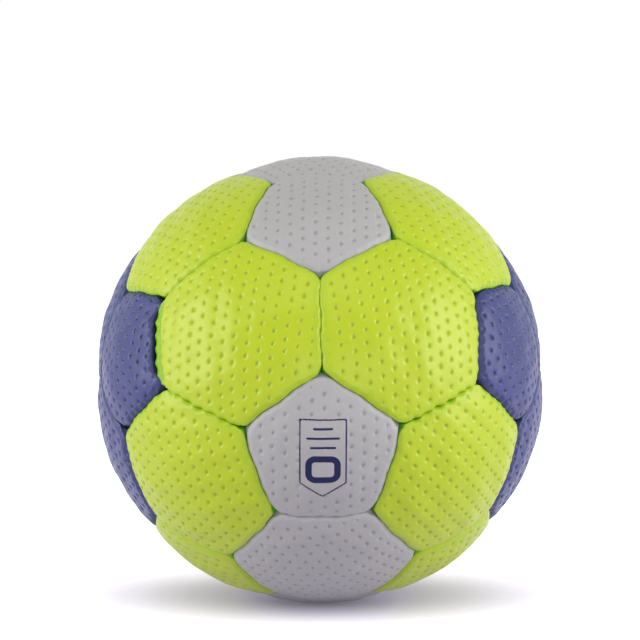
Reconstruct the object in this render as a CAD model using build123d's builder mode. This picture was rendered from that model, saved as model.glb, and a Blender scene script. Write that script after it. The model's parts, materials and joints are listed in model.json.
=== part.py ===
# Hand-stitched handball: thirty-two soft covers over foam, lining and an air bladder with its valve.
# The origin is the centre of the ball, +Z is up, and the front of the panel pattern faces -Y.

import os
from collections import namedtuple
from math import acos, atan, cos, degrees, radians, sqrt, tan

from build123d import *

# Ball, in millimetres
ball_diameter = 150.0  # over the crowns of the panels
panel_crown = 0.9  # drop from a panel's crown to its edges
seam_gap = 0.2  # between the covers of two panels
overrun = 1.0  # by which a cut passes what it cuts

# Stance of the panel pattern, in degrees
pattern_lean = 19.1  # its front raised
pattern_roll = 0.95  # anticlockwise, seen from the front
pattern_turn = 0.5  # its front turned to the right

# Layers of a panel, from the outside in
skin_thickness = 1.4
fold_radius = 1.6  # inside the fold where the skin turns down into a seam
corner_ease = 0.6  # by which a corner is rounder than the fold
glue_line = 0.1
foam_thickness = 3.5
lining_thickness = 1.2

# Seam thread
thread_diameter = 0.7
thread_room = 0.05  # about the thread
drawn_share = 0.85  # of the thread's diameter, left where it is drawn through a hole
stitch_pitch = 4.2
stitch_rise = 1.3  # from the inner edge of a turned-in skin to its stitch holes

# Bladder
bladder_room = 0.3  # to the lining
bladder_thickness = 0.8

# Valve core
core_diameter = 4.2
core_length = 16.0  # below the head
core_head_diameter = 5.0
core_head_height = 1.0
needle_bore_diameter = 2.0
needle_bore_depth = 10.0

# Valve housing
valve_panel = "back_right_hexagon"
core_fit = 0.05  # about the core
core_end_room = 0.2  # below the core
housing_wall = 1.0  # about the core's head
housing_recess = 0.3  # of its mouth below the crown
housing_room = 0.2  # about the housing
stem_diameter = 12.0
washer_diameter = 22.0
washer_thickness = 1.5
barrel_wall = 1.6
barrel_floor = 1.5
air_hole_diameter = 1.6

# Radii from the centre of the ball
cover_radius = ball_diameter / 2
foam_floor_radius = cover_radius - skin_thickness - glue_line - foam_thickness
lining_radius = foam_floor_radius - glue_line
lining_floor_radius = lining_radius - lining_thickness
bladder_radius = lining_floor_radius - bladder_room
bladder_inner_radius = bladder_radius - bladder_thickness
stitch_radius = lining_floor_radius + stitch_rise

# Depths behind the middle of a seam
skin_inset = seam_gap / 2
cavity_inset = skin_inset + skin_thickness
rail_inset = cavity_inset + thread_room + thread_diameter / 2
foam_inset = max(rail_inset + thread_diameter / 2 + thread_room, cavity_inset + fold_radius)

# Directions of the panels' middles, which are the corners of an icosahedron and of its dual
golden = (1 + sqrt(5)) / 2
sides = {"left": -1, "right": 1}
ends = {"front": -1, "back": 1}
levels = {"lower": -1, "upper": 1}
poles = {"bottom": -1, "top": 1}


def stance(x, y, z):
    """Direction of a panel once the pattern leans, rolls and turns."""
    leaned = Vector(x, y, z).normalized().rotate(Axis.X, -pattern_lean)
    return leaned.rotate(Axis.Y, -pattern_roll).rotate(Axis.Z, pattern_turn)


pentagon_axes = {}
hexagon_axes = {}
for end, y in ends.items():
    for level, z in levels.items():
        pentagon_axes[f"{end}_{level}_pentagon"] = stance(0, y * golden, z)
    for side, x in sides.items():
        hexagon_axes[f"{end}_{side}_hexagon"] = stance(x / golden, y * golden, 0)
for side, x in sides.items():
    for end, y in ends.items():
        pentagon_axes[f"{side}_{end}_pentagon"] = stance(x * golden, y, 0)
    for level, z in levels.items():
        hexagon_axes[f"{side}_{level}_hexagon"] = stance(x * golden, 0, z / golden)
for pole, z in poles.items():
    for side, x in sides.items():
        pentagon_axes[f"{pole}_{side}_pentagon"] = stance(x, 0, z * golden)
    for end, y in ends.items():
        hexagon_axes[f"{pole}_{end}_hexagon"] = stance(0, y / golden, z * golden)
for level, z in levels.items():
    for side, x in sides.items():
        for end, y in ends.items():
            hexagon_axes[f"{level}_{side}_{end}_hexagon"] = stance(x, y, z)

# The two kinds of panel: number of sides, and angle from a panel's middle to the middle of a side
Panel = namedtuple("Panel", "sides half_angle")
across_two_hexagons = hexagon_axes["front_left_hexagon"].get_angle(hexagon_axes["front_right_hexagon"])
across_a_pentagon = hexagon_axes["front_left_hexagon"].get_angle(pentagon_axes["front_upper_pentagon"])
hexagon = Panel(6, across_two_hexagons / 2)
pentagon = Panel(5, across_a_pentagon - hexagon.half_angle)

# Stitches of one seam, as angles from its middle
corner_angle = atan(tan(radians(hexagon.half_angle)) / cos(radians(180 / hexagon.sides)))
seam_arc = 2 * acos(cos(corner_angle) / cos(radians(hexagon.half_angle)))
corner_radius = fold_radius + skin_thickness + corner_ease
stitch_count = int((stitch_radius * seam_arc - 2 * corner_radius) // stitch_pitch) + 1
stitch_step = degrees(stitch_pitch / stitch_radius)
stitch_angles = [stitch_step * (i - (stitch_count - 1) / 2) for i in range(stitch_count)]


# Frames

def outward_frame(axis, beside, angle=0):
    """Frame at the centre of the ball, with Z turned by an angle from axis towards beside, and X along that turn."""
    towards = (beside - axis * axis.dot(beside)).normalized()
    turn = Axis((0, 0, 0), axis.cross(towards))
    return Plane((0, 0, 0), x_dir=towards.rotate(turn, angle), z_dir=axis.rotate(turn, angle))


def panel_frame(axis, other_axes):
    """Frame of a panel: Z through its middle, X to a neighbour of the other kind."""
    nearest = max(other_axes.values(), key=lambda other: round(axis.dot(other), 6))
    return outward_frame(axis, nearest)


def panel_seams(panel):
    """Seam frames round a panel, in its own frame: Z through the seam's middle, X across it."""
    up = Vector(0, 0, 1)
    turns = [360 / panel.sides * side for side in range(panel.sides)]
    return [outward_frame(up, Vector(1, 0, 0).rotate(Axis.Z, turn), panel.half_angle) for turn in turns]


def stitch_frame(seam, angle):
    """Frame of one stitch of a seam: Z across the seam."""
    place = Vector(0, 0, stitch_radius).rotate(Axis.X, angle)
    return Plane(seam.from_local_coords(place), z_dir=seam.x_dir)


hexagon_frames = {name: panel_frame(axis, pentagon_axes) for name, axis in hexagon_axes.items()}
pentagon_frames = {name: panel_frame(axis, hexagon_axes) for name, axis in pentagon_axes.items()}
valve_frame = hexagon_frames[valve_panel]


# Panel solids, in the panel's own frame

def dome(panel):
    """Height of the centre, and radius, of the sphere through a panel's crown and edges."""
    edge_radius = cover_radius - panel_crown
    edge_drop = cover_radius - edge_radius * cos(radians(panel.half_angle))
    centre = (cover_radius**2 - edge_radius**2) / (2 * edge_drop)
    return centre, cover_radius - centre


def ball_cap(radius, mode=Mode.ADD):
    """A sphere with its poles to the sides, so that no pole lies on the panel."""
    return Sphere(radius, rotation=(90, 0, 0), mode=mode)


def panel_wedge(panel, inset, depth, rounding):
    """A panel's domed wedge at an inset from its seams and a depth below its crown, with rounded corners."""
    centre, radius = dome(panel)
    with BuildPart() as block:
        with Locations((0, 0, centre)):
            ball_cap(radius - depth)
        for seam in panel_seams(panel):
            split(bisect_by=Plane(seam.x_dir * -inset, z_dir=seam.x_dir), keep=Keep.BOTTOM)
        ball_cap(bladder_inner_radius / 2, Mode.SUBTRACT)
        fillet(block.edges().filter_by(GeomType.LINE), rounding)
    return block.part


def crowned_block(panel, inset, depth, roll, floor_radius):
    """A panel's wedge with its crown rolled over into the seams, cut off at a floor."""
    with BuildPart() as block:
        add(panel_wedge(panel, inset, depth, roll + corner_ease))
        fillet(block.faces().filter_by(GeomType.SPHERE).sort_by(Axis.Z)[-1].edges(), roll)
        ball_cap(floor_radius, Mode.SUBTRACT)
    return block.part


def cover(panel):
    """The skin of a panel, with its edges turned in and punched for the thread."""
    hole_diameter = thread_diameter + 2 * thread_room
    outer_roll = fold_radius + skin_thickness
    cavity_floor = lining_floor_radius - overrun
    with BuildPart() as skin:
        add(crowned_block(panel, skin_inset, 0, outer_roll, lining_floor_radius))
        add(crowned_block(panel, cavity_inset, skin_thickness, fold_radius, cavity_floor), mode=Mode.SUBTRACT)
        with Locations([stitch_frame(seam, angle) for seam in panel_seams(panel) for angle in stitch_angles]):
            Cylinder(hole_diameter / 2, 2 * (cavity_inset + overrun), mode=Mode.SUBTRACT)
    return skin.part


def foam(panel):
    """The foam pad that fills a cover's crown."""
    with BuildPart() as pad:
        add(panel_wedge(panel, foam_inset, skin_thickness + glue_line, fold_radius + corner_ease))
        ball_cap(foam_floor_radius, Mode.SUBTRACT)
    return pad.part


def lining(panel):
    """The woven backing between foam and bladder."""
    with BuildPart() as cloth:
        add(panel_wedge(panel, foam_inset, skin_thickness, fold_radius + corner_ease))
        ball_cap(lining_radius, Mode.INTERSECT)
        ball_cap(lining_floor_radius, Mode.SUBTRACT)
    return cloth.part


def save(solid, name):
    solid.label = name
    export_step(solid, f"parts/{name}.step")


os.makedirs("parts", exist_ok=True)

# Covers
nose_radius = core_head_diameter / 2 + core_fit + housing_wall
for panel, frames in ((hexagon, hexagon_frames), (pentagon, pentagon_frames)):
    plain_cover = cover(panel)
    for name, frame in frames.items():
        with BuildPart(frame) as placed_cover:
            add(plain_cover)
            if name == valve_panel:
                with Locations((0, 0, cover_radius)):
                    Cylinder(nose_radius + housing_room, 2 * (skin_thickness + overrun), mode=Mode.SUBTRACT)
        save(placed_cover.part, name)

# Foam pads and linings, with a hole for the valve's stem
stem_hole_radius = stem_diameter / 2 + housing_room
upwards = (Align.CENTER, Align.CENTER, Align.MIN)
for kind, panel, frames in (("hexagon", hexagon, hexagon_frames), ("pentagon", pentagon, pentagon_frames)):
    for layer, solid in (("foams", foam(panel)), ("linings", lining(panel))):
        with BuildPart() as placed_layer:
            with Locations(list(frames.values())):
                add(solid)
            if valve_panel in frames:
                with Locations(valve_frame):
                    Cylinder(stem_hole_radius, cover_radius, align=upwards, mode=Mode.SUBTRACT)
        save(placed_layer.part, f"{kind}_{layer}")

# Thread of one seam, in the seam's frame: pulled flat along both sides, and drawn through each pair of holes
rail_arc = stitch_step * (stitch_count - 1) + degrees(2 * thread_diameter / stitch_radius)
with BuildPart() as seam_thread:
    with BuildSketch(Plane.XZ.rotated((-rail_arc / 2, 0, 0))):
        with Locations((-rail_inset, stitch_radius), (rail_inset, stitch_radius)):
            Rectangle(thread_diameter, thread_diameter)
    revolve(axis=Axis.X, revolution_arc=rail_arc)
    with Locations([stitch_frame(Plane.XY, angle) for angle in stitch_angles]):
        Cylinder(drawn_share * thread_diameter / 2, 2 * rail_inset)

# Threads of all the seams: between two hexagons, and round the pentagons
for kind, other_axes, reach in (
    ("hexagon", hexagon_axes, across_two_hexagons),
    ("pentagon", pentagon_axes, across_a_pentagon),
):
    seams = []
    for name, axis in hexagon_axes.items():
        for other, beside in other_axes.items():
            neighbours = abs(axis.get_angle(beside) - reach) < reach / hexagon.sides
            if neighbours and (other not in hexagon_axes or name < other):
                seams.append(outward_frame(axis, beside, hexagon.half_angle))
    with BuildPart() as placed_threads:
        with Locations(seams):
            add(seam_thread.part)
    save(placed_threads.part, f"{kind}_seam_threads")

# Bladder
with BuildPart() as bladder:
    Sphere(bladder_radius)
    Sphere(bladder_inner_radius, mode=Mode.SUBTRACT)
    with Locations(valve_frame):
        Cylinder(stem_hole_radius, cover_radius, align=upwards, mode=Mode.SUBTRACT)
save(bladder.part, "bladder")


# Valve housing: nose through the cover, stem through the layers, washer inside the bladder, barrel

def at_radius(radius, across):
    """Point of a section through the valve, on a sphere about the ball's centre."""
    return across, sqrt(radius**2 - across**2)


mouth_height = cover_radius - housing_recess
core_seat_height = mouth_height - core_head_height
core_foot_height = core_seat_height - core_length
bore_floor_height = core_foot_height - core_end_room
barrel_foot_height = bore_floor_height - barrel_floor
bore_radius = core_diameter / 2 + core_fit
barrel_radius = bore_radius + barrel_wall
washer_top_radius = bladder_inner_radius - glue_line
washer_floor_radius = washer_top_radius - washer_thickness
dome_centre, dome_radius = dome(hexagon)
stem_top_height = dome_centre + at_radius(dome_radius - skin_thickness, stem_diameter / 2)[1] - glue_line

with BuildPart() as housing:
    with BuildSketch(Plane.XZ):
        with BuildLine():
            floor_start = at_radius(washer_floor_radius, barrel_radius)
            floor_end = at_radius(washer_floor_radius, washer_diameter / 2)
            top_start = at_radius(washer_top_radius, washer_diameter / 2)
            top_end = at_radius(washer_top_radius, stem_diameter / 2)
            Polyline((0, mouth_height), (0, barrel_foot_height), (barrel_radius, barrel_foot_height), floor_start)
            RadiusArc(floor_start, floor_end, washer_floor_radius)
            Line(floor_end, top_start)
            RadiusArc(top_start, top_end, -washer_top_radius)
            Polyline(
                top_end,
                (stem_diameter / 2, stem_top_height),
                (nose_radius, stem_top_height),
                (nose_radius, mouth_height),
                (0, mouth_height),
            )
        make_face()
    revolve(axis=Axis.Z)
    for radius, foot_height in (
        (core_head_diameter / 2 + core_fit, core_seat_height),
        (bore_radius, bore_floor_height),
        (air_hole_diameter / 2, barrel_foot_height - overrun),
    ):
        with Locations((0, 0, foot_height)):
            Cylinder(radius, mouth_height + overrun - foot_height, align=upwards, mode=Mode.SUBTRACT)
with BuildPart(valve_frame) as valve_housing:
    add(housing.part)
save(valve_housing.part, "valve_housing")

# Valve core: plug with a head, drilled for the inflating needle
with BuildPart(valve_frame) as valve_core:
    with Locations((0, 0, core_foot_height)):
        Cylinder(core_diameter / 2, core_length + core_head_height, align=upwards)
    with Locations((0, 0, core_seat_height)):
        Cylinder(core_head_diameter / 2, core_head_height, align=upwards)
    with Locations((0, 0, mouth_height - needle_bore_depth)):
        Cylinder(needle_bore_diameter / 2, needle_bore_depth + overrun, align=upwards, mode=Mode.SUBTRACT)
save(valve_core.part, "valve_core")

print("stitches in a seam", stitch_count)
print("valve axis", tuple(valve_frame.z_dir), "mouth at", tuple(valve_frame.z_dir * mouth_height))
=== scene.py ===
import json
import math

import bmesh
import bpy
import numpy as np
from mathutils import Matrix, Vector


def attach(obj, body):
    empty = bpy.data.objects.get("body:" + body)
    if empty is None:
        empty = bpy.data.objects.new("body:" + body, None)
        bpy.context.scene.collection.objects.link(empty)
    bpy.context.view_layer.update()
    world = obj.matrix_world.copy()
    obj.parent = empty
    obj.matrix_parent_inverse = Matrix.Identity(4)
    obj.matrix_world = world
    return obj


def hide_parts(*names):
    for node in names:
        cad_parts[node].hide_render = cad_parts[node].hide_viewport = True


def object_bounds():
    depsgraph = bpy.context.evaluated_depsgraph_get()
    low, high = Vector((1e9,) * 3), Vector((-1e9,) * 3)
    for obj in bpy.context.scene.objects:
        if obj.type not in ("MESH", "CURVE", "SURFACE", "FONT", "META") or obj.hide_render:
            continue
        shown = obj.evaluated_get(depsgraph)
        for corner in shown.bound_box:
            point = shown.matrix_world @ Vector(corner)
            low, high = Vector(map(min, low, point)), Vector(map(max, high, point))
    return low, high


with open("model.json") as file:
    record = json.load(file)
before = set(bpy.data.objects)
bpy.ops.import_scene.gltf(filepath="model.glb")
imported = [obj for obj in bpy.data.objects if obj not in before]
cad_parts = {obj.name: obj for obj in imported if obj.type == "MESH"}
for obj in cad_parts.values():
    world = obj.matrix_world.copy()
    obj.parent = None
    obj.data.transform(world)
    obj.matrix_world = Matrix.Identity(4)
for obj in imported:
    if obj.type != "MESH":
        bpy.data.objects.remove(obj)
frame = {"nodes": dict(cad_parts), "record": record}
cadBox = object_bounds()
mm = 0.001
print("frame loaded:", len(frame["nodes"]), "nodes")


# where the panels lie, read from the frame
panelSides = {"hexagon": 6, "pentagon": 5}
panelKinds = {name: name.split("_")[-1] for name in sorted(frame["nodes"])
              if name.endswith(tuple(panelSides))}
slots = {row["node"]: row["material_slot"] for row in frame["record"]["subparts"]}
valvePanel = "back_right_hexagon"


def nodePoints(name):  # mm
    mesh = frame["nodes"][name].data
    points = np.empty(len(mesh.vertices) * 3)
    mesh.vertices.foreach_get("co", points)
    return points.reshape(-1, 3) / mm


def nodeAxis(name):  # from the ball's middle through the middle of a panel
    mesh = frame["nodes"][name].data
    centres = np.empty(len(mesh.polygons) * 3)
    areas = np.empty(len(mesh.polygons))
    mesh.polygons.foreach_get("center", centres)
    mesh.polygons.foreach_get("area", areas)
    middle = areas @ centres.reshape(-1, 3)
    return middle / np.linalg.norm(middle)


panelAxes = {name: nodeAxis(name) for name in panelKinds}
ballRadius = max(np.linalg.norm(nodePoints(name), axis=1).max() for name in panelKinds)  # mm


def angleBetween(one, other):
    return math.acos(panelAxes[one] @ panelAxes[other])


def nearestPanel(name, kind):
    others = [other for other in panelKinds if other != name and panelKinds[other] == kind]
    return min(others, key=lambda other: angleBetween(name, other))


def panelTurn(name):  # rows: the panel's own x, y and outward axes, with x through the middle of a side
    otherKind = "pentagon" if panelKinds[name] == "hexagon" else "hexagon"
    outward = panelAxes[name]
    across = panelAxes[nearestPanel(name, otherKind)]
    across = across - (across @ outward) * outward
    across = across / np.linalg.norm(across)
    return np.stack([across, np.cross(outward, across), outward])


toHexagon = angleBetween(valvePanel, nearestPanel(valvePanel, "hexagon"))
toPentagon = angleBetween(valvePanel, nearestPanel(valvePanel, "pentagon"))
halfAngles = {"hexagon": toHexagon / 2, "pentagon": toPentagon - toHexagon / 2}  # from middle to side
print("ball radius", round(ballRadius, 2), "mm, panels", len(panelKinds))


# the covers' sizes
cover = {
    "cuts": {"hexagon": 90, "pentagon": 72},  # mesh steps from a panel's middle to its side
    "crown": 1.2,        # mm, how far a panel's middle stands over its seams
    "fold": 3.0,         # mm, radius of the rolled edge
    "gap": 0.012,        # mm, from the seam to the turned-in edge, where two panels press together
    "wall": 1.6,         # mm, turned-in edge below the roll
    "corner": {"lime_cover": 5.4, "grey_cover": 7.5, "blue_cover": 11.0},  # mm, radius of a panel's corners
    "cornerDepth": (0.8, 2.8),  # mm deep, where the corners begin to close and where they are closed
    "cornerClosed": 0.15,  # share of the radius that is left there
    "cornerEase": 0.5,   # share of the way to a corner, where one side begins to ease into the next
    "skin": 1.4,         # mm, thickness of the cover
    "flange": 5.0,       # mm, depth of the turned-in edge below the seam's top
    "valveHole": 3.75,   # mm, radius of the hole for the valve
    "valveEase": (0.2, 0.6),  # shares of the way out, between which round rings turn to the panel's outline
    "lump": 0.10,        # mm, unevenness of the foam under the cover
    "lumpWaves": (9, 13, 19),  # mm, from one swelling to the next
    "lumpFade": 6.0,     # mm from the seam, where the swellings are full
    "paintedSeamShade": (0.4, 1.7),  # mm deep, where the painted shade of the seam begins and where it is full
    "paintedShadeBeside": (0.15, 2.2),  # share of that painted shade on the face beside a seam, and mm to where it fades
    "fill": 0.9,         # how tight it is filled, from 0 to 1
    "seed": 100,         # of the first panel's chances
}
dimple = {
    "pitch": 4.1,        # mm, from one dimple to the next in a column
    "column": 3.95,      # mm, from one column to the next
    "depth": {"lime_cover": 0.62, "grey_cover": 0.55, "blue_cover": 0.75},  # mm
    "core": 0.44,        # mm, radius of the dimple's core
    "rim": 0.72,         # mm, radius of the soft funnel round it
    "rimShare": 0.25,    # share of the depth that is the funnel's
    "long": 1.35,        # length along the column for a width of 1
    "lean": 0.15,        # mm aside for each mm up
    "drift": 0.2,        # mm, how far a dimple strays from its place
    "vary": 0.15,        # share by which its width varies
    "fade": {"lime_cover": (0.6, 3.2), "grey_cover": (0.6, 3.2), "blue_cover": (0.2, 1.6)},  # mm from a seam
    "valveFade": (0.5, 3.0),  # mm from the valve's hole
    "chanceTurn": 60,    # degrees within which the columns of most panels turn by chance
}
columnTurn = {           # degrees from upright to the columns of the panels in front
    "front_left_hexagon": 0, "front_right_hexagon": 0, "front_upper_pentagon": 0, "front_lower_pentagon": 0,
    "upper_left_front_hexagon": 22, "upper_right_front_hexagon": 38,
    "lower_left_front_hexagon": 8, "lower_right_front_hexagon": 54,
}
stitch = {
    "pull": (0.65, 1.0),  # weakest and strongest seam
    "uneven": 0.35,      # share by which one stitch is weaker than another
    "unevenStep": 2.0,   # radians of that wave from one stitch to the next
    "touch": 0.8,        # mm from the seam, within which the edges stay together
    "break": 0.1,        # share of a stitch from its middle to where its pucker begins to end
    "corner": (0.7, 0.95),  # shares of the way to a corner, between which the stitches fade
    "dash": 0.6,         # mm, how far a pucker goes over the panel
    "reach": 1.8,        # mm, how far its scallop goes
    "sway": 0.22,        # mm, how far a seam wanders to one side
    "swayWave": 13.0,    # mm, from one bend of the seam to the next
    "tightBand": (-0.4, 0.1),  # in ball radii, heights between which lime seams are pulled tight
}
# in mm, how far a seam's rolls are squeezed, how far apart its stitches lie, how deep they draw the edge in,
# how far they draw it back, and how far their two ends lie to either side of the seam
seamKinds = {
    "alike": {"press": 1.6, "pitch": 4.8, "pucker": 0.6, "scallop": 0.1, "weave": 0.4},
    "tight": {"press": 1.9, "pitch": 4.8, "pucker": 1.5, "scallop": 0.3, "weave": 0.7},
    "unlike": {"press": 1.0, "pitch": 4.2, "pucker": 0.25, "scallop": 0.4, "weave": 0.1},
    "withBlue": {"press": 0.7, "pitch": 3.5, "pucker": 0.4, "scallop": 1.5, "weave": 0.0},
    "hemmed": {"press": 1.4, "pitch": 4.0, "pucker": 0.4, "scallop": 0.9, "weave": 0.0},
}
hem = {                  # a turned-in edge that shows beside its seam
    "panels": ("front_left_hexagon", "left_front_pentagon"),  # the one it belongs to and the one beside it
    "width": 4.0,        # mm of it that show
    "drop": 0.6,         # mm below the face
    "dent": 0.5,         # mm, how far its stitches draw it in
    "crease": 0.6,       # mm, half the width of the step down to it
    "shade": 0.55,       # share of the seam's painted shade on it
}
stand = {                # mm, how proud a panel or a colour's panels stand
    "lime_cover": 0.2, "grey_cover": -0.1, "blue_cover": -0.1, "top_front_hexagon": -0.7,
}
spread = {               # mm, how much larger or smaller it is cut
    "front_upper_pentagon": -0.6, "front_lower_pentagon": 0.6, "blue_cover": -1.0,
}
spreadFade = (4, 16)     # mm from the seam, between which a panel's cut fades


def smoothStep(low, high, value):
    t = np.clip((value - low) / (high - low), 0, 1)
    return t * t * (3 - 2 * t)


def panelStand(name):
    return stand.get(name, stand[slots[name]])


def panelSpread(name):
    return spread.get(name, spread.get(slots[name], 0))


# seams
def seamKind(name, other):
    if sorted((name, other)) == sorted(hem["panels"]):
        return seamKinds["hemmed"]
    if slots[name] == slots[other]:
        low, high = stitch["tightBand"]
        tight = slots[name] == "lime_cover" and low < (panelAxes[name] + panelAxes[other])[2] / 2 < high
        return seamKinds["tight" if tight else "alike"]
    return seamKinds["withBlue" if "blue_cover" in (slots[name], slots[other]) else "unlike"]


def hemSide(name, other):  # 1 on the side with the hem, -1 on the side beside it, 0 on all others
    return ((name, other) == hem["panels"]) - ((other, name) == hem["panels"])


def neighbours(name):  # the panel across each side, in the order of the sides
    turn, half, sides = panelTurn(name), halfAngles[panelKinds[name]], panelSides[panelKinds[name]]
    found = []
    for side in range(sides):
        angle = 2 * math.pi * side / sides
        across, outward = math.sin(2 * half), math.cos(2 * half)
        beyond = np.array([across * math.cos(angle), across * math.sin(angle), outward]) @ turn
        others = [other for other in panelKinds if other != name]
        found.append(max(others, key=lambda other: panelAxes[other] @ beyond))
    return found


def seamStitches(name, other):  # a seam's hand, pull, shift, slant and sway, the same seen from both panels
    order = sorted((name, other))
    draw = np.random.default_rng([list(panelKinds).index(panel) for panel in order])
    hand = 1 if name == order[0] else -1
    shift = hand * draw.uniform(0, 1)
    return hand, draw.uniform(*stitch["pull"]), shift, draw.choice([-1, 1]), draw.uniform(0, 2 * math.pi)


def alongSides(values, side, off):  # one value for each side, eased into the next round the corners
    values = np.asarray(values, float)
    beside = (side + np.where(off > 0, 1, -1)) % len(values)
    ease = smoothStep(cover["cornerEase"], 1, np.abs(off) * len(values) / math.pi) / 2
    return values[side] * (1 - ease) + values[beside] * ease


# shapes shared by the covers and the pads under them
def roundedOutline(off, sides, ease):  # reach of a polygon with rounded corners, as a share of its apothem
    corner = math.pi / sides
    lean = corner - np.abs(off)
    centre = (1 - ease) / math.cos(corner)
    arc = centre * np.cos(lean) + np.sqrt(np.maximum(ease ** 2 - (centre * np.sin(lean)) ** 2, 0))
    return np.where(np.tan(np.abs(off)) <= math.tan(corner) * (1 - ease), 1 / np.cos(off), arc)


def domeRadius(tilt, half, crown):  # a panel's dome, as a radius of the ball at each angle from its middle
    seam = ballRadius - crown
    centre = (ballRadius ** 2 - seam ** 2) / (2 * (ballRadius - seam * math.cos(half)))
    return centre * np.cos(tilt) + np.sqrt((ballRadius - centre) ** 2 - (centre * np.sin(tilt)) ** 2)


def flatSheet(bm, sides, cuts):  # a flat polygon of even triangles, with the middle of a side on +X
    bmesh.ops.create_circle(bm, cap_ends=True, cap_tris=True, segments=sides, radius=1)
    turn = Matrix.Rotation(math.pi / sides - math.pi / 2, 3, "Z")
    bmesh.ops.rotate(bm, verts=bm.verts, cent=(0, 0, 0), matrix=turn)
    bmesh.ops.subdivide_edges(bm, edges=bm.edges, cuts=cuts, use_grid_fill=True)


def ringShare(x, y, sides):  # side, angle round, angle from the side's middle, share of the way out
    step = 2 * math.pi / sides
    around = np.arctan2(y, x)
    side = np.round(around / step)
    off = around - side * step
    return side.astype(int) % sides, around, off, np.hypot(x, y) * np.cos(off) / math.cos(step / 2)


def cutMiddle(bm, sides, share):  # takes the sheet's middle out, up to one of its rings
    centres = [face.calc_center_median() for face in bm.faces]
    gone = [f for f, c in zip(bm.faces, centres) if ringShare(c.x, c.y, sides)[3] < share]
    bmesh.ops.delete(bm, geom=gone, context="FACES")


# the print on the lower front pentagon: a plain nought under plain rules, in a frame with a pointed foot
badge = {
    "panel": "front_lower_pentagon",
    "drop": 0.6,                  # mm below the panel's middle
    "frame": (6.95, 12.3, 0.2),   # mm, half width, half height and corner radius
    "point": 4.6,                 # mm, how far the foot's point hangs below the frame's sides
    "frameLine": 0.24,            # mm, half the line's width
    "nought": (4.35, 3.4, 2.0),
    "noughtDrop": 3.2,            # mm below the frame's middle
    "noughtLine": 1.0,
    "rules": ((3.1, 9.6), (5.1, 6.7), (4.0, 3.8)),  # mm, half length and height above the frame's middle
    "ruleLine": 0.35,
    "ink": "#060b42",
    "inkEdge": 0.06,              # mm, half the width of the ink's soft edge
    "pressedFlat": 0.65,          # share of the dimples' depth that the print takes away
    "flatFade": (1.5, -1.0),      # mm outside the frame, where that begins, and inside it, where it is full
}


def roundedBox(across, up, halfWidth, halfHeight, corner):  # signed distance to a rounded rectangle's line
    outX = np.abs(across) - halfWidth + corner
    outY = np.abs(up) - halfHeight + corner
    outside = np.hypot(np.maximum(outX, 0), np.maximum(outY, 0))
    return outside + np.minimum(np.maximum(outX, outY), 0) - corner


def badgePlace(x, y, turn):  # a place on the panel, to the right of the print's middle and above it
    up = turn[:2, 2] / np.linalg.norm(turn[:2, 2])
    return x * up[1] - y * up[0], x * up[0] + y * up[1] + badge["drop"]


def badgeInk(points, turn):  # mm from the nearest printed line, under 0 on it
    x, y, _ = (points / mm @ turn.T).T
    across, up = badgePlace(x, y, turn)
    width, height, _ = badge["frame"]
    foot = math.atan2(badge["point"], width)
    belowFoot = np.abs(across) * math.sin(foot) - (up + height) * math.cos(foot)
    outer = np.maximum(roundedBox(across, up, *badge["frame"]), belowFoot)
    nought = roundedBox(across, up + badge["noughtDrop"], *badge["nought"])
    inks = [np.abs(outer) - badge["frameLine"], np.abs(nought) - badge["noughtLine"]]
    for length, above in badge["rules"]:
        inks.append(roundedBox(across, up - above, length, badge["ruleLine"], badge["ruleLine"]))
    return np.min(inks, axis=0)


# the covers: one flat blank for each shape of panel, then each panel's own form
def coverProfile(kind):  # unrolled length from the panel's middle to the end of its turned-in edge
    return cover["wall"] + math.pi / 2 * cover["fold"] + ballRadius * halfAngles[kind] - cover["fold"]


def coverRings(kind, hole):  # inside of the cover, ring by ring: mm from the seam and mm under the crown
    gap, fold, skin = cover["gap"], cover["fold"], cover["skin"]
    apothem = ballRadius * halfAngles[kind]
    rings = [(gap, cover["flange"]), (gap + skin, cover["flange"]), (gap + skin, fold)]
    for bend in (math.pi / 4, math.pi / 2):
        inner = fold - skin
        rings.append((gap + fold - inner * math.cos(bend), fold - inner * math.sin(bend)))
    last = apothem - cover["valveHole"] if hole else apothem
    return rings + [((rings[-1][0] + last) / 2, skin), (last, skin)]


def mouthRing(kind):  # share of the way out to the ring where the valve's hole is cut, and a mesh step
    steps = cover["cuts"][kind] + 1
    return round(cover["valveHole"] / coverProfile(kind) * steps) / steps, 1 / steps


def coverBlank(kind, hole):
    bm = bmesh.new()
    flatSheet(bm, panelSides[kind], cover["cuts"][kind])
    rim = [edge for edge in bm.edges if edge.is_boundary]
    if hole:
        cutMiddle(bm, panelSides[kind], mouthRing(kind)[0])
        mouth = [edge for edge in bm.edges if edge.is_boundary and edge not in rim]
    rings = coverRings(kind, hole)
    for _ in rings:
        made = bmesh.ops.extrude_edge_only(bm, edges=rim)["geom"]
        lower = [item for item in made if isinstance(item, bmesh.types.BMVert)]
        rim = [item for item in made if isinstance(item, bmesh.types.BMEdge) and item.is_boundary]
        bmesh.ops.translate(bm, verts=lower, vec=(0, 0, -1))
    if hole:
        bmesh.ops.bridge_loops(bm, edges=rim + mouth)
    else:
        bmesh.ops.pointmerge(bm, verts=lower, merge_co=(0, 0, -len(rings)))
    bmesh.ops.triangulate(bm, faces=bm.faces)
    bmesh.ops.recalc_face_normals(bm, faces=bm.faces)
    mesh = bpy.data.meshes.new("blank")
    bm.to_mesh(mesh)
    bm.free()
    return mesh


def blankPlaces(blank):  # x, y and ring of each vertex: ring 0 is the face, the others follow inside
    flat = np.empty(len(blank.vertices) * 3)
    blank.vertices.foreach_get("co", flat)
    x, y, level = flat.reshape(-1, 3).T
    return x, y, np.rint(-level).astype(int)


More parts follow.
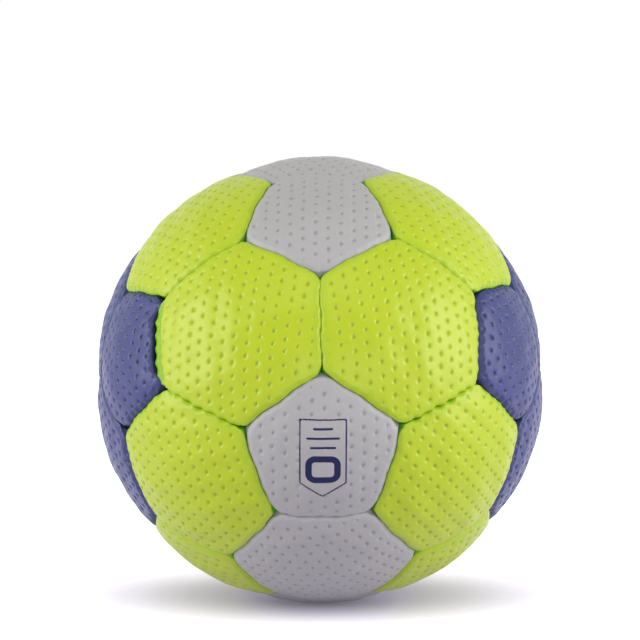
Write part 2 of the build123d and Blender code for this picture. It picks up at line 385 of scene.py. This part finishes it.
def rollSkin(name, share, ring, press):  # mm from the seam and mm under the crown, over edge, roll and face
    wall, fold = cover["wall"], cover["fold"]
    run = (1 - share) * (coverProfile(panelKinds[name]) + press)
    bend = np.clip((run - wall) / fold, 0, math.pi / 2)
    inward = fold * (1 - np.cos(bend)) - press
    inward += np.maximum(run - wall - math.pi / 2 * fold, 0)
    inward = np.maximum(inward, cover["gap"])
    depth = fold * (1 - np.sin(bend)) + np.maximum(wall - run, 0)
    for index, (ringInward, ringDepth) in enumerate(coverRings(panelKinds[name], name == valvePanel), 1):
        inward[ring == index] = ringInward
        depth[ring == index] = ringDepth
    return inward, depth


def sewEdges(name, side, off, onTop, seam, inward, depth):  # stitches pucker the edge, and seams sway
    across, sides = neighbours(name), panelSides[panelKinds[name]]
    seams = [seamStitches(name, other) for other in across]
    hand, pull, shift, slant, start = [alongSides(values, side, off) for values in zip(*seams)]
    along = ballRadius * halfAngles[panelKinds[name]] * np.tan(off)
    fromMiddle = along / seam["pitch"] + shift
    number = np.round(fromMiddle)
    fromMiddle = 2 * (fromMiddle - number)  # from -1 to 1 along each stitch
    weakness = (1 + np.sin(start + stitch["unevenStep"] * hand * number)) / 2
    pull = pull * (1 - stitch["uneven"] * weakness)
    ends = 1 - smoothStep(*stitch["corner"], np.abs(np.tan(off)) / math.tan(math.pi / sides))
    drawn = onTop * pull * smoothStep(1, stitch["break"], np.abs(fromMiddle)) * ends
    near = drawn * np.exp(-(inward / stitch["reach"]) ** 2)
    depth = depth + seam["pucker"] * drawn * np.exp(-(inward / stitch["dash"]) ** 2)
    # painted shade in the seam, fuller where the surface sinks deeper
    paintedSeamShade = onTop * smoothStep(*cover["paintedSeamShade"], depth)

    # the hem, which also takes a share of the seam's painted shade
    hemmed = np.array([hemSide(name, other) for other in across])[side] * ends * hem["width"]
    strip = onTop * ends * smoothStep(hem["crease"], -hem["crease"], inward - hemmed) * (hemmed > 0)
    depth = depth + (hem["drop"] + hem["dent"] * drawn) * strip
    paintedSeamShade = np.maximum(paintedSeamShade, hem["shade"] * strip)
    # painted shade spread onto the face beside each seam
    paintedShadeBeside, paintedShadeReach = cover["paintedShadeBeside"]
    paintedSeamShade = np.maximum(paintedSeamShade, onTop * paintedShadeBeside * np.exp(-(inward / paintedShadeReach) ** 2))

    # the edge's own line
    towardsSeam = 1 - smoothStep(*spreadFade, inward)
    sway = hand * np.sin(2 * math.pi * hand * along / stitch["swayWave"] + start)
    spreads = [(panelSpread(name) - panelSpread(other)) / 2 for other in across]
    edge = inward + seam["scallop"] * near * smoothStep(0, stitch["touch"], inward)
    edge += seam["weave"] * slant * fromMiddle * near
    edge += (stitch["sway"] * sway - alongSides(spreads, side, off) - hemmed) * towardsSeam
    return edge, depth, paintedSeamShade, strip


def nearestDimple(name, turn, around, reach, rng):  # mm from the middle of a dimple, in staggered columns
    chanceTurn = rng.uniform(0, dimple["chanceTurn"])
    upright = math.atan2(turn[1][2], turn[0][2]) + math.radians(columnTurn.get(name, chanceTurn))
    startAcross, startUp = rng.uniform(0, dimple["pitch"], 2)
    across = reach * np.sin(upright - around) + startAcross
    up = reach * np.cos(upright - around) + startUp
    column = np.round(across / dimple["column"])
    staggered = up - (column % 2) * dimple["pitch"] / 2
    row = np.round(staggered / dimple["pitch"])
    count = 4 * math.ceil(ballRadius / dimple["pitch"])  # more columns and rows than a panel has
    chance = rng.uniform(-1, 1, (3, count, count))[:, column.astype(int) % count, row.astype(int) % count]
    aside = across - column * dimple["column"] + dimple["drift"] * chance[0]
    along = staggered - row * dimple["pitch"] + dimple["drift"] * chance[1]
    width = 1 + dimple["vary"] * chance[2]
    return np.hypot(aside - dimple["lean"] * along, along / dimple["long"]) / width


def dimplesPressed(name, turn, around, reach, fromSeam):  # share of their depth that the dimples have
    pressed = smoothStep(*dimple["fade"][slots[name]], fromSeam)
    if name == valvePanel:
        pressed *= smoothStep(*dimple["valveFade"], reach - cover["valveHole"])
    if name == badge["panel"]:
        place = badgePlace(reach * np.cos(around), reach * np.sin(around), turn)
        printed = smoothStep(*badge["flatFade"], roundedBox(*place, *badge["frame"]))
        pressed *= 1 - badge["pressedFlat"] * printed
    return pressed


def foamLumps(around, reach, rng):  # the foam's swellings
    lumps = np.zeros_like(reach)
    for wave in cover["lumpWaves"]:
        heading, start = rng.uniform(0, 2 * math.pi, 2)
        lumps += np.sin(reach * np.cos(around - heading) * 2 * math.pi / wave + start)
    return cover["lump"] * lumps


def shapeCover(name, blank, rng):  # points, mm from each to a dimple, share of the seam's painted shade
    kind, hole, turn = panelKinds[name], name == valvePanel, panelTurn(name)
    sides, half = panelSides[kind], halfAngles[kind]
    apothem = ballRadius * half
    x, y, ring = blankPlaces(blank)
    onTop = ring == 0
    side, around, off, share = ringShare(x, y, sides)

    kinds = [seamKind(name, other) for other in neighbours(name)]
    seam = {size: alongSides([one[size] for one in kinds], side, off) for size in kinds[0]}
    fromSeam, depth = rollSkin(name, share, ring, seam["press"])
    closing = smoothStep(*cover["cornerDepth"], depth)
    corner = cover["corner"][slots[name]] / apothem * (1 - (1 - cover["cornerClosed"]) * closing)
    inward, depth, paintedSeamShade, strip = sewEdges(name, side, off, onTop, seam, fromSeam, depth)

    outline = roundedOutline(off, sides, corner)
    if hole:
        outline = 1 + (outline - 1) * smoothStep(*cover["valveEase"], 1 - inward / apothem)
    tilt = (1 - inward / apothem) * np.arctan(math.tan(half) * outline)
    reach = ballRadius * tilt

    pit = nearestDimple(name, turn, around, reach, rng)
    pressed = onTop * (1 - strip) * dimplesPressed(name, turn, around, reach, fromSeam)
    core = np.exp(-(pit / dimple["core"]) ** 2)
    rim = np.exp(-(pit / dimple["rim"]) ** 2)
    depth += dimple["depth"][slots[name]] * pressed * (core + dimple["rimShare"] * (rim - core))
    pit += (1 - pressed) * dimple["rim"]
    depth += onTop * foamLumps(around, reach, rng) * smoothStep(0, cover["lumpFade"], inward)

    height = domeRadius(tilt, half, cover["crown"]) + panelStand(name) - depth
    if hole:
        mouthShare, step = mouthRing(kind)
        mouth = onTop & (share < mouthShare + step / 2)
        tilt[mouth] = cover["valveHole"] / height[mouth]
    local = np.stack([np.sin(tilt) * np.cos(around), np.sin(tilt) * np.sin(around), np.cos(tilt)], axis=1)
    points = (local * height[:, None]) @ turn * mm
    return points, pit, paintedSeamShade


def addAttribute(mesh, name, values):
    attribute = mesh.attributes.new(name, "FLOAT", "POINT")
    attribute.data.foreach_set("value", values.astype(np.float32))


def addPiece(name, mesh, node, material):
    mesh.name = name
    mesh.materials.append(material)
    mesh.polygons.foreach_set("use_smooth", [True] * len(mesh.polygons))
    mesh.update()
    piece = bpy.data.objects.new(name, mesh)
    bpy.context.scene.collection.objects.link(piece)
    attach(piece, "ball")
    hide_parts(node)
    return piece


# materials
def hexColour(code):  # sRGB hex to linear
    values = [int(code[i:i + 2], 16) / 255 for i in (1, 3, 5)]
    return [v / 12.92 if v <= 0.04045 else ((v + 0.055) / 1.055) ** 2.4 for v in values] + [1]


def addNode(tree, kind, inputs=None, **settings):
    node = tree.nodes.new(kind)
    for key, value in settings.items():
        setattr(node, key, value)
    for socket, value in (inputs or {}).items():
        if isinstance(value, bpy.types.NodeSocket):
            tree.links.new(value, node.inputs[socket])
        else:
            node.inputs[socket].default_value = value
    return node


def newMaterial(name):
    material = bpy.data.materials.new(name)
    material.use_nodes = True
    tree = material.node_tree
    shader = next(node for node in tree.nodes if node.type == "BSDF_PRINCIPLED")
    place = addNode(tree, "ShaderNodeTexCoord").outputs["Object"]
    return material, tree, shader, place


leather = {
    "mottle": 9.0,         # mm, from one faint patch of colour to the next
    "grain": 0.9,          # mm, from one grain to the next, drawn coarse enough to show
    "grainBump": 0.15,     # mm
    "pore": 0.5,           # mm, from one pore to the next, drawn coarse enough to show
    "poreBump": 0.06,      # mm
    "poreRange": (0.3, 0.7),  # low and high ends of the pores' noise, spread over the range of roughness
    "pitFloor": 0.3,       # mm from a dimple's middle, within which its painted shade is full
    "ior": 1.5,
}
# colour is the leather's own and worn a random mottle of it; pit is painted shade in the dimples; seam is
# painted shade in the seams, with painted green bounce light on the lime and a painted pale highlight on the
# grey edges
skins = {
    "lime_cover": {
        "name": "limePuLeather", "colour": "#b7c91b", "worn": "#b2c517", "pit": "#84a206", "seam": "#4fae22",
        "pitShade": 0.55, "roughness": (0.32, 0.42), "pitRoughness": 0.34, "relief": 0.25, "shine": 0.42},
    "grey_cover": {
        "name": "greyPuLeather", "colour": "#b0aeac", "worn": "#abaaa8", "pit": "#868483", "seam": "#b4b5bb",
        "pitShade": 0.48, "roughness": (0.36, 0.46), "pitRoughness": 0.28, "relief": 0.25, "shine": 0.24},
    "blue_cover": {
        "name": "bluePuLeather", "colour": "#373e76", "worn": "#32396e", "pit": "#161b42", "seam": "#14183a",
        "pitShade": 0.95, "roughness": (0.34, 0.44), "pitRoughness": 0.12, "relief": 0.3, "shine": 0.38},
}


# polyurethane synthetic leather, embossed and semi-gloss: clear even colour, a soft broad shine, a fine
# grain, painted shade in the dimples and seams, painted green bounce light in lime seams, pale grey edge
# highlight
def puLeather(name, skin):
    material, tree, shader, place = newMaterial(name)
    mottle = addNode(tree, "ShaderNodeTexNoise",
                     {"Vector": place, "Scale": 1 / (leather["mottle"] * mm), "Detail": 3.0})
    grain = addNode(tree, "ShaderNodeTexVoronoi", {"Vector": place, "Scale": 1 / (leather["grain"] * mm)},
                    feature="SMOOTH_F1")
    pores = addNode(tree, "ShaderNodeTexNoise",
                    {"Vector": place, "Scale": 1 / (leather["pore"] * mm), "Detail": 2.0})
    pit = addNode(tree, "ShaderNodeAttribute", attribute_name="pit").outputs["Fac"]
    paintedSeamShade = addNode(tree, "ShaderNodeAttribute", attribute_name="paintedSeamShade").outputs["Fac"]
    intoPit = {"Value": pit, "From Min": dimple["rim"], "From Max": leather["pitFloor"]}
    # painted shade in the dimples: the pit colour, full within pitFloor of a dimple's middle
    shade = addNode(tree, "ShaderNodeMapRange", {**intoPit, "To Max": skin["pitShade"]},
                    interpolation_type="SMOOTHSTEP")
    # worn is a random mottle; pit and seam lay painted shade into the dimples and the seams
    coats = [(mottle.outputs["Fac"], "worn"), (shade.outputs[0], "pit"), (paintedSeamShade, "seam")]
    if "ink" in skin:  # screen print, sharp at its edges
        ink = addNode(tree, "ShaderNodeAttribute", attribute_name="ink").outputs["Fac"]
        printed = addNode(tree, "ShaderNodeMapRange",
                          {"Value": ink, "From Min": badge["inkEdge"], "From Max": -badge["inkEdge"]})
        coats.append((printed.outputs[0], "ink"))
    colour = hexColour(skin["colour"])
    for share, coat in coats:
        mix = addNode(tree, "ShaderNodeMix", {0: share, 6: colour, 7: hexColour(skin[coat])},
                      data_type="RGBA")
        colour = mix.outputs[2]
    tree.links.new(colour, shader.inputs["Base Color"])

    poreLow, poreHigh = leather["poreRange"]
    low, high = skin["roughness"]
    face = addNode(tree, "ShaderNodeMapRange", {"Value": pores.outputs["Fac"], "From Min": poreLow,
                                                "From Max": poreHigh, "To Min": low, "To Max": high})
    inPit = addNode(tree, "ShaderNodeMapRange", intoPit, interpolation_type="SMOOTHSTEP")
    rough = addNode(tree, "ShaderNodeMix",
                    {0: inPit.outputs[0], 2: face.outputs[0], 3: skin["pitRoughness"]})
    tree.links.new(rough.outputs[0], shader.inputs["Roughness"])
    coarse = addNode(tree, "ShaderNodeBump", {"Height": grain.outputs["Distance"],
                                              "Strength": skin["relief"],
                                              "Distance": leather["grainBump"] * mm})
    fine = addNode(tree, "ShaderNodeBump", {"Height": pores.outputs["Fac"], "Strength": skin["relief"],
                                            "Distance": leather["poreBump"] * mm,
                                            "Normal": coarse.outputs[0]})
    tree.links.new(fine.outputs[0], shader.inputs["Normal"])
    shader.inputs["IOR"].default_value = leather["ior"]
    shader.inputs["Specular IOR Level"].default_value = skin["shine"]
    return material


leathers = {slot: puLeather(skin["name"], skin) for slot, skin in skins.items()}
printedGrey = puLeather("printedGreyPuLeather", {**skins["grey_cover"], "ink": badge["ink"]})
print("leathers mixed:", len(leathers) + 1)

blanks = {kind: coverBlank(kind, False) for kind in panelSides}
valveBlank = coverBlank(panelKinds[valvePanel], True)
for number, name in enumerate(panelKinds):
    source = valveBlank if name == valvePanel else blanks[panelKinds[name]]
    points, pit, paintedSeamShade = shapeCover(name, source, np.random.default_rng(cover["seed"] + number))
    mesh = source.copy()
    mesh.vertices.foreach_set("co", points.ravel())
    addAttribute(mesh, "pit", pit)
    addAttribute(mesh, "paintedSeamShade", paintedSeamShade)
    printed = name == badge["panel"]
    if printed:
        addAttribute(mesh, "ink", badgeInk(points, panelTurn(name)))
    piece = addPiece(name + ".skin", mesh, name, printedGrey if printed else leathers[slots[name]])
for blank in (*blanks.values(), valveBlank):
    bpy.data.meshes.remove(blank)
print("covers shaped:", len(panelKinds))


# finishes of the inner pieces: each has a pattern between two colours, which also stands out a little
def twoTone(tree, shader, pattern, look):
    colours = {0: pattern, 6: hexColour(look["dark"]), 7: hexColour(look["pale"])}
    colour = addNode(tree, "ShaderNodeMix", colours, data_type="RGBA")
    tree.links.new(colour.outputs[2], shader.inputs["Base Color"])
    bump = addNode(tree, "ShaderNodeBump", {"Height": pattern, "Strength": look["strength"],
                                            "Distance": look["bump"] * mm})
    tree.links.new(bump.outputs[0], shader.inputs["Normal"])
    shader.inputs["Roughness"].default_value = look["roughness"]


# cell, yarn, twist and patch are mm from one to the next, bump is its height in mm
foam = {"cell": 0.8, "bump": 0.2, "strength": 0.6, "dark": "#d9d3bd", "pale": "#eae6d6", "roughness": 0.9}
cloth = {"yarn": 4.4, "bump": 0.15, "strength": 0.5, "dark": "#b9b3a4", "pale": "#e4dfd2", "roughness": 0.85}
twine = {"twist": 0.5, "bump": 0.1, "strength": 0.5, "dark": "#d6d4ca", "pale": "#eeece4", "roughness": 0.55}
rubber = {"patch": 4.0, "bump": 0.1, "strength": 0.2}
rubbers = {
    "bladder": {"name": "butylRubber", "dark": "#161616", "pale": "#2a2a2b", "roughness": 0.6},
    "valve_housing": {"name": "mouldedRubber", "dark": "#1b1b1c", "pale": "#303031", "roughness": 0.55},
    "valve_core": {"name": "plugRubber", "dark": "#2a2a2c", "pale": "#3d3d40", "roughness": 0.5},
}


# pressed polyurethane foam: pale, matt, with fine open cells
def foamMaterial(name):
    material, tree, shader, place = newMaterial(name)
    cells = addNode(tree, "ShaderNodeTexVoronoi", {"Vector": place, "Scale": 1 / (foam["cell"] * mm)})
    twoTone(tree, shader, cells.outputs["Distance"], foam)
    return material


# polyester and cotton lining, plain woven: off-white, with crossing yarns, drawn coarse enough to show
def clothMaterial(name):
    material, tree, shader, place = newMaterial(name)
    waveTurn = 20  # radians that a wave texture turns in a metre at a scale of 1
    scale = 2 * math.pi / (waveTurn * cloth["yarn"] * mm)
    weave = []
    for direction in ("X", "Z"):
        wave = addNode(tree, "ShaderNodeTexWave", {"Vector": place, "Scale": scale, "Distortion": 0.4},
                       bands_direction=direction)
        weave.append(wave.outputs["Fac"])
    yarns = addNode(tree, "ShaderNodeMath", {0: weave[0], 1: weave[1]}, operation="MULTIPLY")
    twoTone(tree, shader, yarns.outputs[0], cloth)
    return material


# waxed polyester seam thread, twisted: off-white, with a dull shine
def threadMaterial(name):
    material, tree, shader, place = newMaterial(name)
    twist = addNode(tree, "ShaderNodeTexNoise",
                    {"Vector": place, "Scale": 1 / (twine["twist"] * mm), "Detail": 2.0})
    twoTone(tree, shader, twist.outputs["Fac"], twine)
    return material


# moulded rubber: near black, matt, with a bloom that greys it in patches
def rubberMaterial(look):
    material, tree, shader, place = newMaterial(look["name"])
    patches = addNode(tree, "ShaderNodeTexNoise",
                      {"Vector": place, "Scale": 1 / (rubber["patch"] * mm), "Detail": 4.0})
    twoTone(tree, shader, patches.outputs["Fac"], {**rubber, **look})
    return material


# foam pads and linings behind the covers, coarse because they are sealed in
def nodeReach(name):  # nearest and farthest from the ball's middle, mm
    far = np.linalg.norm(nodePoints(name), axis=1)
    return far.min(), far.max()


liningLow, liningHigh = nodeReach("hexagon_linings")
pads = {                 # mm from the seams, mm from the ball's middle, mm under the crown, mm of rounding
    "foams": {"inset": 5.0, "low": nodeReach("hexagon_foams")[0], "under": 1.5, "bevel": 1.0, "fill": 0.9},
    "linings": {"inset": 2.4, "low": liningLow, "high": liningHigh, "bevel": 0.3, "fill": 1.0},
}
padShape = {
    "cuts": 13,          # mesh steps from a pad's middle to its side
    "corner": 2.0,       # mm, radius of a pad's corners
    "hole": 6.2,         # mm, radius of the hole round the valve
    "holeRings": 3,      # mesh steps taken out for it
}


def padMesh(kind, pad, hole):
    sides, half = panelSides[kind], halfAngles[kind]
    apothem = ballRadius * half
    step = 1 / (padShape["cuts"] + 1)
    ring = padShape["holeRings"] * step
    bm = bmesh.new()
    flatSheet(bm, sides, padShape["cuts"])
    if hole:
        cutMiddle(bm, sides, ring)
    for vert in bm.verts:
        _, around, off, share = ringShare(vert.co.x, vert.co.y, sides)
        outline = float(roundedOutline(off, sides, padShape["corner"] / apothem))
        edge = math.atan(math.tan(half) * outline)
        tilt = share * (1 - pad["inset"] / apothem) * edge
        if hole and share < ring + step / 2:
            tilt = padShape["hole"] / pad["low"]
        across, outward = math.sin(tilt), math.cos(tilt)
        vert.co = Vector((across * math.cos(around), across * math.sin(around), outward)) * pad["low"]
    made = bmesh.ops.extrude_face_region(bm, geom=bm.faces[:])["geom"]
    for vert in [item for item in made if isinstance(item, bmesh.types.BMVert)]:
        tilt = vert.co.angle(Vector((0, 0, 1)))
        high = pad.get("high") or float(domeRadius(tilt, half, cover["crown"])) - pad["under"]
        vert.co *= high / vert.co.length
    top = {item for item in made if isinstance(item, bmesh.types.BMFace)}
    rim = [edge for edge in bm.edges if sum(face in top for face in edge.link_faces) == 1]
    bmesh.ops.bevel(bm, geom=rim, offset=pad["bevel"], offset_type="OFFSET", segments=2, profile=0.5,
                    affect="EDGES", material=-1, clamp_overlap=True)
    bmesh.ops.recalc_face_normals(bm, faces=bm.faces)
    mesh = bpy.data.meshes.new("pad")
    bm.to_mesh(mesh)
    bm.free()
    return mesh


padMaterials = {"foams": foamMaterial("pressedFoam"), "linings": clothMaterial("wovenLining")}
for layer, pad in pads.items():
    for kind in panelSides:
        node = kind + "_" + layer
        plain = padMesh(kind, pad, False)
        bm = bmesh.new()
        for name in [name for name in panelKinds if panelKinds[name] == kind]:
            before = len(bm.verts)
            bm.from_mesh(padMesh(kind, pad, True) if name == valvePanel else plain)
            bm.verts.ensure_lookup_table()
            toBall = Matrix((panelTurn(name).T * mm).tolist()).to_4x4()
            bmesh.ops.transform(bm, matrix=toBall, verts=bm.verts[before:])
        mesh = bpy.data.meshes.new(node)
        bm.to_mesh(mesh)
        bm.free()
        piece = addPiece(node + ".pad", mesh, node, padMaterials[layer])
print("foam pads and linings set behind the covers")


def finishNode(node, material):  # a CAD piece that keeps its shape gets its finish
    mesh = frame["nodes"][node].data
    mesh.materials.clear()
    mesh.materials.append(material)


waxedThread = threadMaterial("waxedThread")
for node in ("hexagon_seam_threads", "pentagon_seam_threads"):
    finishNode(node, waxedThread)
for node, look in rubbers.items():
    finishNode(node, rubberMaterial(look))
print("inner pieces finished")


# stage: white floor and world, big side softboxes, a top and a front fill, and one for the ball's back; the
# floor's glow paints the shadow's outline
studio = {
    "floorSize": 3.0,    # metres from its middle to its sides
    "floorColour": "#cac3db",
    "floorGlow": (0.085, 0.95),  # painted light, the emission that camera and reflections see, under the ball and away from it
    "paintedShadowReach": (0.089, 0.051),  # metres, how far the painted shadow, an oval of low glow, goes to the sides and to the front
    "paintedShadowFade": (0.25, 1.25),  # shares of that reach, between which the floor turns white
    "paintedShadowBack": 0.008,  # metres behind the ball's middle, where the painted shadow has its own
    "ambient": 0.20,
    "left": {"place": (-1.0, -0.33, 0.30), "size": (0.8, 0.9), "watts": 10.0},
    "right": {"place": (1.0, -0.33, 0.30), "size": (0.8, 0.9), "watts": 10.4},
    "top": {"place": (0.0, -0.8, 1.2), "size": (1.0, 0.8), "watts": 3.8},
    "front": {"place": (0.25, -1.4, 0.05), "size": (0.9, 0.25), "watts": 3.1},
    "back": {"place": (0.0, 1.1, 0.08), "size": (0.8, 0.6), "watts": 8.0},
}


def seenDirectly(tree):  # 1 for camera, glossy and transmission rays
    path = addNode(tree, "ShaderNodeLightPath")
    seen = path.outputs["Is Camera Ray"]
    for ray in ("Is Glossy Ray", "Is Transmission Ray"):
        either = addNode(tree, "ShaderNodeMath", {0: seen, 1: path.outputs[ray]}, operation="MAXIMUM")
        seen = either.outputs[0]
    return seen


def addSoftbox(name):
    lamp = bpy.data.lights.new(name + "Softbox", "AREA")
    lamp.shape = "RECTANGLE"
    lamp.size, lamp.size_y = studio[name]["size"]
    lamp.energy = studio[name]["watts"]
    box = bpy.data.objects.new(name + "Softbox", lamp)
    box.location = studio[name]["place"]
    box.rotation_euler = (-box.location).to_track_quat("-Z", "Y").to_euler()
    bpy.context.scene.collection.objects.link(box)
    return box


for name in ("left", "right", "top", "front", "back"):
    box = addSoftbox(name)
    box.visible_glossy = name != "back"  # no glare round the ball's outline

world = bpy.data.worlds.new("whiteStudio")
bpy.context.scene.world = world
world.use_nodes = True
background = next(node for node in world.node_tree.nodes if node.type == "BACKGROUND")
background.inputs["Color"].default_value = (1, 1, 1, 1)
glow = addNode(world.node_tree, "ShaderNodeMapRange",
               {"Value": seenDirectly(world.node_tree), "To Min": studio["ambient"], "To Max": 1.0})
world.node_tree.links.new(glow.outputs[0], background.inputs["Strength"])

bm = bmesh.new()
bmesh.ops.create_grid(bm, x_segments=1, y_segments=1, size=studio["floorSize"])
bmesh.ops.translate(bm, verts=bm.verts, vec=(0, 0, cadBox[0][2]))
floorMesh = bpy.data.meshes.new("floor")
bm.to_mesh(floorMesh)
bm.free()
floor = bpy.data.objects.new("floor", floorMesh)
bpy.context.scene.collection.objects.link(floor)
paper, tree, shader, place = newMaterial("whitePaper")  # matt paper sweep: white, no shine
shader.inputs["Base Color"].default_value = hexColour(studio["floorColour"])
shader.inputs["Roughness"].default_value = 1.0
shader.inputs["Specular IOR Level"].default_value = 0.0
shader.inputs["Emission Color"].default_value = (1, 1, 1, 1)
# the glow is painted light on the floor: white away from the ball and dim in an oval round it, painting the
# shadow's outline over the real shadow
sideReach, frontReach = studio["paintedShadowReach"]
oval = addNode(tree, "ShaderNodeMapping", {"Vector": place, "Scale": (1 / sideReach, 1 / frontReach, 0),
                                           "Location": (0, -studio["paintedShadowBack"] / frontReach, 0)})
away = addNode(tree, "ShaderNodeVectorMath", {0: oval.outputs[0]}, operation="LENGTH").outputs["Value"]
fadeStart, fadeEnd = studio["paintedShadowFade"]
under, beyond = studio["floorGlow"]
glow = addNode(tree, "ShaderNodeMapRange",
               {"Value": away, "From Min": fadeStart, "From Max": fadeEnd, "To Min": under, "To Max": beyond},
               interpolation_type="SMOOTHSTEP")
lift = addNode(tree, "ShaderNodeMath", {0: seenDirectly(tree), 1: glow.outputs[0]}, operation="MULTIPLY")
tree.links.new(lift.outputs[0], shader.inputs["Emission Strength"])
floorMesh.materials.append(paper)

viewpoint = {
    "distance": 0.6705,  # metres
    "elevation": 6.0,    # degrees
    "aimRise": 1.675,    # degrees, how far above the ball's middle it aims
    "lens": 112.4,       # mm
    "sensor": 36.0,      # mm
}
lens = bpy.data.cameras.new("camera")
lens.lens = viewpoint["lens"]
lens.sensor_width = viewpoint["sensor"]
camera = bpy.data.objects.new("camera", lens)
height = math.radians(viewpoint["elevation"])
camera.location = (0, -viewpoint["distance"] * math.cos(height), viewpoint["distance"] * math.sin(height))
camera.rotation_euler = (math.radians(90 - viewpoint["elevation"] + viewpoint["aimRise"]), 0, 0)
bpy.context.scene.collection.objects.link(camera)
bpy.context.scene.camera = camera
bpy.context.scene.view_settings.view_transform = "Standard"
print("stage set")
